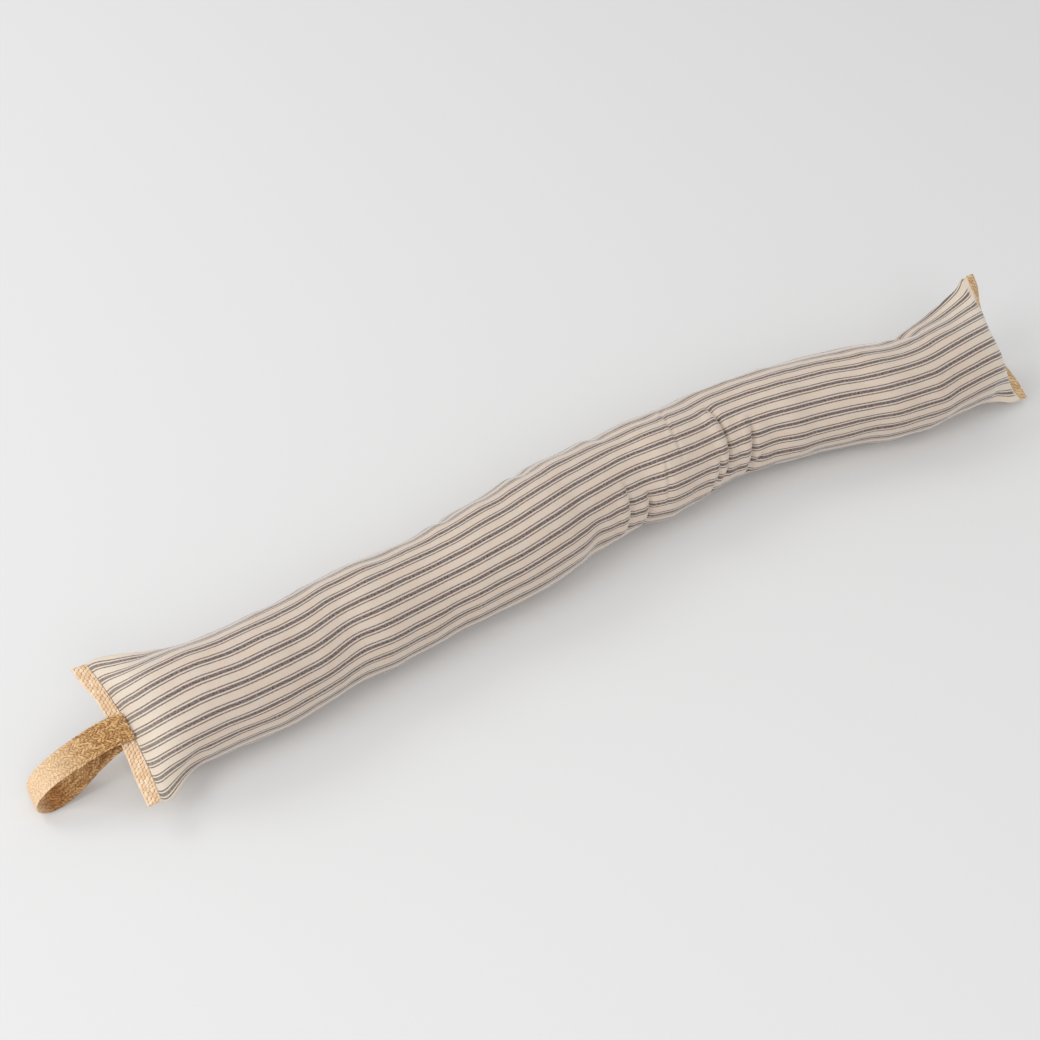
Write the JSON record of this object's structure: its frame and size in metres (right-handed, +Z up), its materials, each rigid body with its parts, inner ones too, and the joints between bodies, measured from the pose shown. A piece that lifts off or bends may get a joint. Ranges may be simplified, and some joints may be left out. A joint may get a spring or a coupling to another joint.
{
  "type": "draught excluder",
  "caption": "Long stuffed ticking tube that lies against the foot of a door, sewn flat and bound with webbing at both ends, with a carrying loop.",
  "frame": {"origin": "middle of the bounding box in plan, on the surface that the tube lies on", "axes": "+X along the tube from the end with the loop to the plain end, +Y to the back, +Z up"},
  "size_m": [0.9978, 0.1496, 0.0942],
  "materials": {
    "ticking": "matt plain-woven cotton, cream with grey stripes along the tube",
    "pale_webbing": "matt pale jute webbing with rust-coloured flecks",
    "brown_webbing": "matt golden-brown jute webbing"
  },
  "bodies": {
    "root": {"filled_cover": "ticking", "loop_end_binding": "pale_webbing", "far_end_binding": "brown_webbing", "carry_loop": "brown_webbing"}
  },
  "joints": []
}
